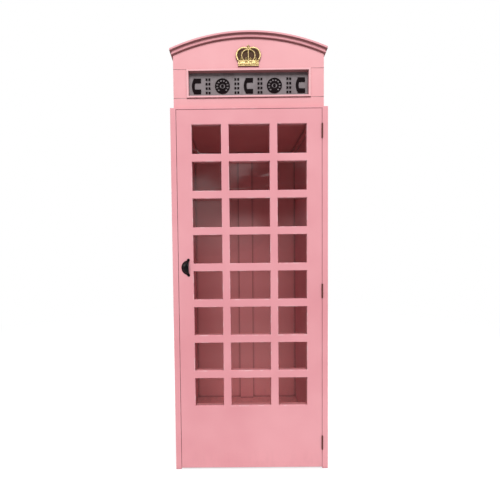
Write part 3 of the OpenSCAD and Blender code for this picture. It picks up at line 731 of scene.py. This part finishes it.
def piece_from(bm: bmesh.types.BMesh, name: str, body: str,
               materials: list[bpy.types.Material], smooth: float = 38.0) -> bpy.types.Object:
    """Turn a finished mesh into a piece that rides on a body.

    Args:
        bm: The mesh, which is freed.
        name: The piece's name.
        body: The CAD body it moves with.
        materials: Its finishes.
        smooth: Faces that meet at less than this angle are shaded as one.

    Returns:
        The piece.
    """
    mesh = bpy.data.meshes.new(name)
    bm.to_mesh(mesh)
    bm.free()
    mesh.shade_smooth()
    mesh.set_sharp_from_angle(angle=math.radians(smooth))
    for material in materials:
        mesh.materials.append(material)
    piece = bpy.data.objects.new(name, mesh)
    bpy.context.scene.collection.objects.link(piece)
    even = piece.modifiers.new("even_shading", "WEIGHTED_NORMAL")
    even.keep_sharp = True
    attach(piece, body)
    log.info("%s: %d faces on %s", name, len(mesh.polygons), body)
    return piece


def eased_piece(node: str, name: str, body: str, width: float, material: bpy.types.Material,
                segments: int = 2, behind: bpy.types.Material | None = None) -> bpy.types.Object:
    """Replace a CAD node with a copy whose edges are eased.

    Args:
        node: The node's name.
        name: The new piece's name.
        body: The body it moves with.
        width: The width of the rounding, in metres.
        material: Its finish.
        segments: Steps in the rounding.
        behind: The finish of the faces that look backwards, if it differs.

    Returns:
        The piece.
    """
    bm = merged_copy(node)
    ease_edges(bm, width, segments)
    if behind:
        for face in bm.faces:
            face.material_index = int(face.normal.y > 0.5)
    piece = piece_from(bm, name, body, [material, behind] if behind else [material])
    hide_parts(node)
    return piece


@dataclass
class Carcase:
    """Posts, rails, walls, floor and the door's stops."""

    paints: Paints
    edge: float = 0.0013
    panel_edge: float = 0.0008
    body: str = "carcase"

    def build(self) -> None:
        """Ease what shows outside and dress what is within."""
        for node, grain in self._outer().items():
            eased_piece(node, f"painted_{node}", self.body, self.edge, self.paints.get(Place.FRAME, grain))
        for side in SIDES:
            dress(f"{side}_wall_boards", self.paints.get(Place.BOARDS, Grain.UPRIGHT))
        self._back_panels()
        inner = {"back_batten": Grain.UPRIGHT, "door_stops": Grain.UPRIGHT,
                 "front_head_rail": Grain.ACROSS, "ceiling_cleats": Grain.DEEP, "header_base": Grain.ACROSS}
        for node, grain in inner.items():
            dress(node, self.paints.get(Place.INSIDE, grain))
        dress("floor_panel", self.paints.get(Place.FLOOR, Grain.DEEP))
        dress("floor_bearers", BareSoftwood("bearer_softwood", Grain.ACROSS).material())

    @staticmethod
    def _outer() -> dict[str, Grain]:
        """List the members that show outside.

        Returns:
            Their nodes, each with its grain.
        """
        posts = {f"{side}_{end}_post": Grain.UPRIGHT for side in SIDES for end in ("front", "back")}
        side_rails = {f"{side}_{level}_rail": Grain.DEEP for side in SIDES for level in LEVELS}
        back_rails = {f"back_{level}_rail": Grain.ACROSS for level in LEVELS}
        return posts | side_rails | back_rails | {"head_strip": Grain.ACROSS}

    def _back_panels(self) -> None:
        """Ease the back panels, painted one way within and another behind."""
        inside = self.paints.get(Place.INSIDE, Grain.UPRIGHT)
        outside = self.paints.get(Place.FRAME, Grain.UPRIGHT)
        for level in ("upper", "lower"):
            node = f"back_{level}_panels"
            eased_piece(node, f"painted_{node}", self.body, self.panel_edge, inside, 1, outside)


@dataclass
class Header:
    """The box over the door with its arched cornice, roof and screws."""

    paints: Paints
    edge: float = 0.001
    moulding_edge: float = 0.0005
    roof_edge: float = 0.0008
    body: str = "carcase"

    def build(self) -> None:
        """Ease the boards and mouldings and dress the hidden timber."""
        boards = {"header_front": Grain.ACROSS, "header_back": Grain.ACROSS,
                  "header_left_side": Grain.DEEP, "header_right_side": Grain.DEEP}
        for node, grain in boards.items():
            eased_piece(node, f"painted_{node}", self.body, self.edge, self.paints.get(Place.HEADER, grain))
        mouldings = {"cornice_front": Grain.ACROSS, "cornice_back": Grain.ACROSS,
                     "cornice_left": Grain.DEEP, "cornice_right": Grain.DEEP}
        for node, grain in mouldings.items():
            paint = self.paints.get(Place.CORNICE, grain)
            eased_piece(node, f"moulded_{node}", self.body, self.moulding_edge, paint, 1)
        eased_piece("roof_sheet", "painted_roof_sheet", self.body, self.roof_edge,
                    self.paints.get(Place.ROOF, Grain.DEEP), 1)
        dress("roof_ribs", BareSoftwood("rib_softwood", Grain.ACROSS).material())
        dress("header_screws", WornSteel("plated_screws", (0.6, 0.58, 0.54), rusted=0.1).material())


@dataclass
class Sign:
    """The sign's frame, sheet and raised symbols."""

    paints: Paints
    frame_edge: float = 0.0014
    symbol_edge: float = 0.0006
    body: str = "carcase"

    def build(self) -> None:
        """Build the frame and symbols and dress the sheet."""
        eased_piece("sign_frame", "painted_sign_frame", self.body, self.frame_edge,
                    self.paints.get(Place.SIGN_FRAME, Grain.ACROSS), 3)
        black = Enamel("symbol_black", (0.006, 0.002, 0.003), (0.04, 0.025, 0.025), 0.6, 0.3,
                       gloss=0.0, shine=0.04).material()
        eased_piece("sign_symbols", "raised_sign_symbols", self.body, self.symbol_edge, black)
        dress("sign_panel", SignSheet("grey_sign_sheet").material())
        dress("sign_retainer", BareSoftwood("retainer_softwood", Grain.ACROSS).material())


@dataclass(frozen=True)
class Pearl:
    """A round bead of the crown.

    Attributes:
        radius: Its radius, in metres.
        depth: How far its middle stands in front of the board, in metres.
    """

    radius: float
    depth: float


@dataclass(frozen=True)
class Arch:
    """A beaded arch of the crown's right half; places are across and up, in metres.

    Attributes:
        foot: How far across it starts, on top of the band.
        bulge: A place that it passes through.
        head: Its upper end.
        rod: Its rod's radius.
        pearls: How many pearls it carries.
    """

    foot: float
    bulge: Spot
    head: Spot
    rod: float
    pearls: int


@dataclass
class Crown:
    """The gilt crown over the sign: a jewelled band, beaded arches and an orb.

    Its sizes are in metres, across from its middle and up from the band's foot.
    """

    body: str = "carcase"
    relief: float = 0.008
    plate: float = 0.0022
    plate_radius: float = 0.0325
    plate_middle: Spot = (0.0245, 0.0465)
    plate_step: float = 0.0002
    sunk: float = 0.7
    band_half: float = 0.05
    band_top: float = 0.028
    band_depth: float = 0.0042
    band_edge: float = 0.0008
    roll: float = 0.0026
    roll_in: float = 0.0027
    roll_past: float = 0.003
    small_pitch: float = 0.0066
    jewel_pitch: float = 0.0142
    jewel: tuple[float, float, float] = (0.0062, 0.003, 0.0062)
    arches: tuple[Arch, ...] = (Arch(0.05, (0.0585, 0.05), (0.003, 0.0815), 0.0044, 13),
                                Arch(0.022, (0.033, 0.052), (0.003, 0.078), 0.0031, 9))
    pearls_within: float = 0.0004
    trefoils: tuple[float, ...] = (0.037, 0.0105)
    lobe: Pearl = Pearl(0.0028, 0.0036)

    def build(self) -> None:
        """Cast the crown in one piece and gild it."""
        low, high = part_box("crown_emblem")
        gilt = Gilding("aged_gilding", high[1], self.relief).material()
        bm = bmesh.new()
        self._plates(bm)
        self._band(bm)
        for side in (1.0, -1.0):
            for arch in self.arches:
                self._arch(bm, side, arch)
            for across in self.trefoils:
                self._trefoil(bm, side * across, self.band_top)
        self._stem(bm)
        centre = (low[0] + high[0]) / 2
        bmesh.ops.transform(bm, matrix=Matrix.Translation((centre, high[1], low[2])), verts=bm.verts)
        bmesh.ops.recalc_face_normals(bm, faces=bm.faces)
        piece = piece_from(bm, "gilt_crown", self.body, [gilt], 50.0)
        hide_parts("crown_emblem")

    def _pearl(self, bm: bmesh.types.BMesh, x: float, z: float, pearl: Pearl) -> None:
        """Add a round bead, no prouder than the relief.

        Args:
            bm: The crown.
            x: Its place across.
            z: Its place above the band's foot.
            pearl: Its size.
        """
        depth = min(pearl.depth, self.relief - pearl.radius)
        where = Matrix.Translation((x, -depth, z)) @ FACING_OUT
        bmesh.ops.create_uvsphere(bm, u_segments=12, v_segments=8, radius=pearl.radius, matrix=where)

    def _rod(self, bm: bmesh.types.BMesh, x: float, foot: float, top: float, radius: float) -> None:
        """Add an upright rod with its middle a little in front of the plates.

        Args:
            bm: The crown.
            x: Its place across.
            foot: Its lower end.
            top: Its upper end.
            radius: Its radius.
        """
        where = Matrix.Translation((x, -self.plate - radius * self.sunk, (foot + top) / 2))
        bmesh.ops.create_cone(bm, cap_ends=True, segments=12, radius1=radius, radius2=radius,
                              depth=top - foot, matrix=where)

    def _plates(self, bm: bmesh.types.BMesh) -> None:
        """Lay a thin plate behind each pair of arches, one a hair thinner where they lap.

        Args:
            bm: The crown.
        """
        across, up = self.plate_middle
        for side, depth in ((1.0, self.plate), (-1.0, self.plate - self.plate_step)):
            where = Matrix.Translation((side * across, -depth / 2, up)) @ FACING_OUT
            bmesh.ops.create_cone(bm, cap_ends=True, segments=48, radius1=self.plate_radius,
                                  radius2=self.plate_radius, depth=depth, matrix=where)

    def _band(self, bm: bmesh.types.BMesh) -> None:
        """Make the band with three rolls, a row of pearls and a row of jewels.

        Args:
            bm: The crown.
        """
        depth = self.band_depth
        middle = Matrix.Translation((0.0, -depth / 2, self.band_top / 2))
        size = Matrix.Diagonal((2 * self.band_half, depth, self.band_top, 1.0))
        made = bmesh.ops.create_cube(bm, size=1.0, matrix=middle @ size)
        edges = edges_at(made["verts"])
        bmesh.ops.bevel(bm, geom=edges, offset=self.band_edge, segments=2, profile=0.5,
                        affect="EDGES", material=-1)
        for z in (self.roll_in, self.band_top * 0.42, self.band_top - self.roll_in):
            where = Matrix.Translation((0.0, -depth, z)) @ LYING_ACROSS
            bmesh.ops.create_cone(bm, cap_ends=True, segments=12, radius1=self.roll, radius2=self.roll,
                                  depth=2 * self.band_half + self.roll_past, matrix=where)
        for step in range(-7, 8):
            self._pearl(bm, step * self.small_pitch, self.band_top * 0.26, Pearl(0.0026, depth))
        for step in range(-3, 4):
            x, z = step * self.jewel_pitch, self.band_top * 0.67
            if step % 2:
                self._pearl(bm, x, z, Pearl(0.0034, depth))
            else:
                turn = Matrix.Rotation(math.pi / 4, 4, "Y") @ Matrix.Diagonal((*self.jewel, 1.0))
                bmesh.ops.create_cube(bm, size=1.0, matrix=Matrix.Translation((x, -depth, z)) @ turn)

    def _stem(self, bm: bmesh.types.BMesh) -> None:
        """Stand a beaded rod in the middle, with an orb and three pearls on top.

        Args:
            bm: The crown.
        """
        self._rod(bm, 0.0, self.band_top, 0.08, 0.003)
        for step in range(6):
            self._pearl(bm, 0.0, 0.034 + step * 0.008, Pearl(0.0034, 0.0044))
        self._pearl(bm, 0.0, 0.0862, Pearl(0.0068, 0.0012))
        self._rod(bm, 0.0, 0.09, 0.099, 0.0018)
        for across, up in ((-0.0042, 0.0965), (0.0042, 0.0965), (0.0, 0.1)):
            self._pearl(bm, across, up, self.lobe)

    def _trefoil(self, bm: bmesh.types.BMesh, x: float, z: float) -> None:
        """Add three lobes on a short stem over the band.

        Args:
            bm: The crown.
            x: The stem's place across.
            z: The stem's foot.
        """
        self._rod(bm, x, z - 0.001, z + 0.006, 0.0013)
        for across, up in ((-0.0036, 0.0055), (0.0036, 0.0055), (0.0, 0.0105)):
            self._pearl(bm, x + across, z + up, self.lobe)

    def _arch(self, bm: bmesh.types.BMesh, side: float, arch: Arch) -> None:
        """Spin a rod through three places and set pearls along it.

        Args:
            bm: The crown.
            side: 1 for the right and -1 for the left.
            arch: The arch.
        """
        places = ((arch.foot, self.band_top), arch.bulge, arch.head)
        foot, bulge, head = (Vector((x * side, z)) for x, z in places)
        inward = self._inward(foot, bulge, head)
        hub, reach = foot + inward, inward.length
        first, last = (math.atan2(p.y - hub.y, p.x - hub.x) for p in (foot, head))
        sweep = (last - first + math.pi) % (2 * math.pi) - math.pi
        if sweep * side < 0:
            sweep += side * 2 * math.pi
        depth = self.plate + arch.rod * self.sunk
        where = Matrix.Translation((foot.x, -depth, foot.y)) @ Matrix.Rotation(-first, 4, "Y")
        ring = bmesh.ops.create_circle(bm, cap_ends=False, segments=12, radius=arch.rod, matrix=where)
        edges = edges_at(ring["verts"])
        made = bmesh.ops.spin(bm, geom=ring["verts"] + edges, cent=Vector((hub.x, -depth, hub.y)),
                              axis=(0.0, -1.0, 0.0), angle=sweep, steps=24, use_merge=False)
        far = [e for e in made["geom_last"] if isinstance(e, bmesh.types.BMEdge)]
        bmesh.ops.contextual_create(bm, geom=edges)
        bmesh.ops.contextual_create(bm, geom=far)
        out = reach - self.pearls_within
        pearl = Pearl(arch.rod * 0.95, arch.rod * 1.7)
        for step in range(arch.pearls):
            angle = first + sweep * (step + 0.5) / arch.pearls
            self._pearl(bm, hub.x + out * math.cos(angle), hub.y + out * math.sin(angle), pearl)

    @staticmethod
    def _inward(a: Vector, b: Vector, c: Vector) -> Vector:
        """Find the way to the middle of the circle through three places.

        Args:
            a: The first place, where the way starts.
            b: The second place.
            c: The third place.

        Returns:
            The step from a to the middle.
        """
        ab, ac = b - a, c - a
        cross = 2 * (ab.x * ac.y - ab.y * ac.x)
        return Vector((ac.y * ab.length_squared - ab.y * ac.length_squared,
                       ab.x * ac.length_squared - ac.x * ab.length_squared)) / cross


@dataclass
class DoorLeaf:
    """The door's timber: stiles, rails and bars under one coat of paint."""

    paints: Paints
    edge: float = 0.0011
    window_edge: float = 0.0035
    body: str = "door"
    uprights: tuple[str, ...] = ("door_hinge_stile", "door_lock_stile", "door_upright_bars")
    levels: tuple[str, ...] = ("door_top_rail", "door_kick_panel", "door_cross_bars")

    def build(self) -> None:
        """Join the members under one coat and dress the beads."""
        materials = [self.paints.get(Place.DOOR, grain) for grain in (Grain.UPRIGHT, Grain.ACROSS)]
        bm = self._joined(materials)
        ease_edges(bm, self.window_edge, within=self._window_fronts())
        ease_edges(bm, self.edge)
        timber = piece_from(bm, "painted_door_timber", self.body, materials)
        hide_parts(*self.uprights, *self.levels)
        dress("glazing_beads", self.paints.get(Place.BEADS, Grain.UPRIGHT))
        dress("window_panes", ClearSheet("clear_acrylic_sheet").material())

    def _window_fronts(self) -> Callable[[Vector], bool]:
        """Find where the window openings are.

        Returns:
            A test that is True for a place on their front edges.
        """
        low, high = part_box("window_panes")
        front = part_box("door_lock_stile")[0][1]

        def round_a_window(place: Vector) -> bool:
            """Return True on the front edges of the window openings."""
            return (place.y < front + self.edge and low[0] < place.x < high[0]
                    and low[2] < place.z < high[2])
        return round_a_window

    def _joined(self, materials: list[bpy.types.Material]) -> bmesh.types.BMesh:
        """Join copies of the members into one solid.

        Args:
            materials: The door's paints, for the upright members and for the level ones.

        Returns:
            The joined mesh, with flat faces of the same paint made one.
        """
        members = [self._member(node, 0, materials) for node in self.uprights]
        members += [self._member(node, 1, materials) for node in self.levels]
        others = bpy.data.collections.new("door_members")
        bpy.context.scene.collection.children.link(others)
        for member in members[1:]:
            others.objects.link(member)
        join = members[0].modifiers.new("one_coat", "BOOLEAN")
        join.operation = "UNION"
        join.operand_type = "COLLECTION"
        join.collection = others
        join.solver = "EXACT"
        graph = bpy.context.evaluated_depsgraph_get()
        joined = bpy.data.meshes.new_from_object(members[0].evaluated_get(graph))
        bm = bmesh.new()
        bm.from_mesh(joined)
        for member in members:
            bpy.data.objects.remove(member)
        bpy.data.collections.remove(others)
        bmesh.ops.remove_doubles(bm, verts=bm.verts, dist=1e-5)
        bmesh.ops.dissolve_limit(bm, angle_limit=math.radians(0.5), verts=bm.verts, edges=bm.edges,
                                 delimit={"MATERIAL"})
        return bm

    @staticmethod
    def _member(node: str, index: int, materials: list[bpy.types.Material]) -> bpy.types.Object:
        """Make a merged copy of one member.

        Args:
            node: The member's CAD node.
            index: The material slot its faces take.
            materials: The door's paints.

        Returns:
            The copy, linked to the scene.
        """
        bm = merged_copy(node)
        for face in bm.faces:
            face.material_index = index
        mesh = bpy.data.meshes.new(f"copy_of_{node}")
        bm.to_mesh(mesh)
        bm.free()
        for material in materials:
            mesh.materials.append(material)
        copy = bpy.data.objects.new(mesh.name, mesh)
        bpy.context.scene.collection.objects.link(copy)
        return copy


@dataclass
class Ironwork:
    """Hinges, catches and the cup pull."""

    pull_edge: float = 0.0004

    def build(self) -> None:
        """Dress the hardware and ease the pull's edges."""
        rusty = WornSteel("rusty_hinge_steel", (0.17, 0.07, 0.055), (0.11, 0.028, 0.02), 0.95, 0.5).material()
        for node in ("hinge_post_leaves", "hinge_door_leaves", "hinge_pins"):
            dress(node, rusty)
        dull = WornSteel("dull_screw_steel", (0.52, 0.50, 0.47), rusted=0.35).material()
        for node in ("hinge_post_screws", "hinge_door_screws", "strike_screws"):
            dress(node, dull)
        plate = WornSteel("strike_plate_steel", (0.66, 0.66, 0.66), rusted=0.08)
        dress("catch_strikes", plate.material())
        ferrite = Enamel("ferrite", (0.03, 0.03, 0.033), (0.12, 0.12, 0.12), 0.55)
        dress("catch_magnets", ferrite.material())
        plastic = Enamel("catch_plastic", (0.74, 0.72, 0.66), (0.5, 0.48, 0.42), 0.45, 0.2)
        dress("catch_bodies", plastic.material())
        lacquer = Enamel("black_lacquer", (0.004, 0.003, 0.004), (0.1, 0.095, 0.09), 0.3, 0.25,
                         metal=0.9, gloss=0.0, shine=0.16).material()
        eased_piece("cup_pull", "lacquered_cup_pull", "door", self.pull_edge, lacquer)
        dress("pull_screws", lacquer)


@dataclass(frozen=True)
class Lamp:
    """A soft square light.

    Attributes:
        name: The light's name.
        place: Where it hangs.
        aim: What it points at.
        size: The side of its square face, in metres.
        watts: Its power.
    """

    name: str
    place: tuple[float, float, float]
    aim: tuple[float, float, float]
    size: float
    watts: float

    def hang(self) -> None:
        """Add the light to the scene."""
        lamp = bpy.data.lights.new(self.name, "AREA")
        lamp.shape = "SQUARE"
        lamp.size = self.size
        lamp.energy = self.watts
        light = bpy.data.objects.new(self.name, lamp)
        light.location = self.place
        light.rotation_euler = (Vector(self.aim) - Vector(self.place)).to_track_quat("-Z", "Y").to_euler()
        bpy.context.scene.collection.objects.link(light)


@dataclass
class Studio:
    """Floor, lights and camera.

    Attributes:
        eye: Where the camera stands, in metres.
        yaw: Its turn to the left, in degrees.
        pitch: Its tilt downwards, in degrees.
        roll: Its lean, in degrees.
        focal: Its focal length, in units of which the view's side has image.
        centre: The point straight ahead, in the same units from the upper left corner.
        image: The side of the view.
        floor_half: The floor's radius, in metres.
        sky_light: How brightly the surroundings light the booth.
        sky_seen: How bright they are to the eye.
        lamps: The lights.
    """

    eye: tuple[float, float, float] = (-0.072, -1.998, 1.1235)
    yaw: float = 0.266
    pitch: float = 2.155
    roll: float = 0.6
    focal: float = 320.3
    centre: tuple[float, float] = (234.4, 262.5)
    image: float = 500.0
    floor_half: float = 30.0
    sky_light: float = 0.22
    sky_seen: float = 1.0
    lamps: tuple[Lamp, ...] = (
        Lamp("key", (0.0, -9.3, 9.6), (0.0, -0.2, 1.0), 7.0, 1450.0),
        Lamp("left", (-4.6, 0.3, 3.2), (0.0, 0.0, 1.1), 2.4, 75.0),
        Lamp("right", (4.6, 0.3, 3.2), (0.0, 0.0, 1.1), 2.4, 75.0),
        Lamp("back", (0.6, 4.6, 3.8), (0.0, 0.0, 1.1), 2.6, 130.0))

    def build(self) -> None:
        """Set the stage."""
        self._floor()
        self._sky()
        for lamp in self.lamps:
            lamp.hang()
        self._camera()

    def _floor(self) -> None:
        """Lay the pale floor."""
        bm = bmesh.new()
        bmesh.ops.create_circle(bm, cap_ends=True, segments=96, radius=self.floor_half)
        mesh = bpy.data.meshes.new("studio_floor")
        bm.to_mesh(mesh)
        bm.free()
        mesh.materials.append(StudioPaper("studio_paper", (0.6, 0.6, 0.6)).material())
        floor = bpy.data.objects.new("studio_floor", mesh)
        bpy.context.scene.collection.objects.link(floor)

    def _sky(self) -> None:
        """Light the surroundings evenly."""
        world = bpy.data.worlds.new("studio")
        world.use_nodes = True
        nodes, links = world.node_tree.nodes, world.node_tree.links
        sky = nodes["Background"]
        sky.inputs["Color"].default_value = (1.0, 1.0, 1.0, 1.0)
        seen = nodes.new("ShaderNodeLightPath")
        level = nodes.new("ShaderNodeMapRange")
        level.inputs["To Min"].default_value = self.sky_light
        level.inputs["To Max"].default_value = self.sky_seen
        links.new(seen.outputs["Is Camera Ray"], level.inputs["Value"])
        links.new(level.outputs["Result"], sky.inputs["Strength"])
        bpy.context.scene.world = world
        bpy.context.scene.view_settings.view_transform = "Standard"

    def _camera(self) -> None:
        """Stand the camera at the viewing point."""
        turn, tip, lean = (math.radians(a) for a in (self.yaw, self.pitch, self.roll))
        right = Vector((math.cos(turn), math.sin(turn), 0.0))
        level = Vector((-math.sin(turn), math.cos(turn), 0.0))
        up = Vector((0.0, 0.0, 1.0))
        ahead = level * math.cos(tip) - up * math.sin(tip)
        down = -(up * math.cos(tip) + level * math.sin(tip))
        across = right * math.cos(lean) + down * math.sin(lean)
        below = down * math.cos(lean) - right * math.sin(lean)
        lens = bpy.data.cameras.new("viewer")
        lens.sensor_width = 36.0
        lens.lens = self.focal / self.image * lens.sensor_width
        lens.shift_x = (self.image / 2 - self.centre[0]) / self.image
        lens.shift_y = (self.centre[1] - self.image / 2) / self.image
        camera = bpy.data.objects.new("viewer", lens)
        facing = Matrix((across, -below, -ahead)).transposed().to_4x4()
        camera.matrix_world = Matrix.Translation(self.eye) @ facing
        bpy.context.scene.collection.objects.link(camera)
        bpy.context.scene.camera = camera


def main() -> None:
    """Build every sub-assembly in order."""
    logging.basicConfig(level=logging.INFO, format="%(name)s: %(message)s")
    paints = Paints()
    assemblies = (Carcase(paints), Header(paints), Sign(paints), Crown(), DoorLeaf(paints),
                  Ironwork(), Studio())
    for assembly in assemblies:
        assembly.build()
        log.info("%s built", type(assembly).__name__)


if __name__ == "__main__":
    main()
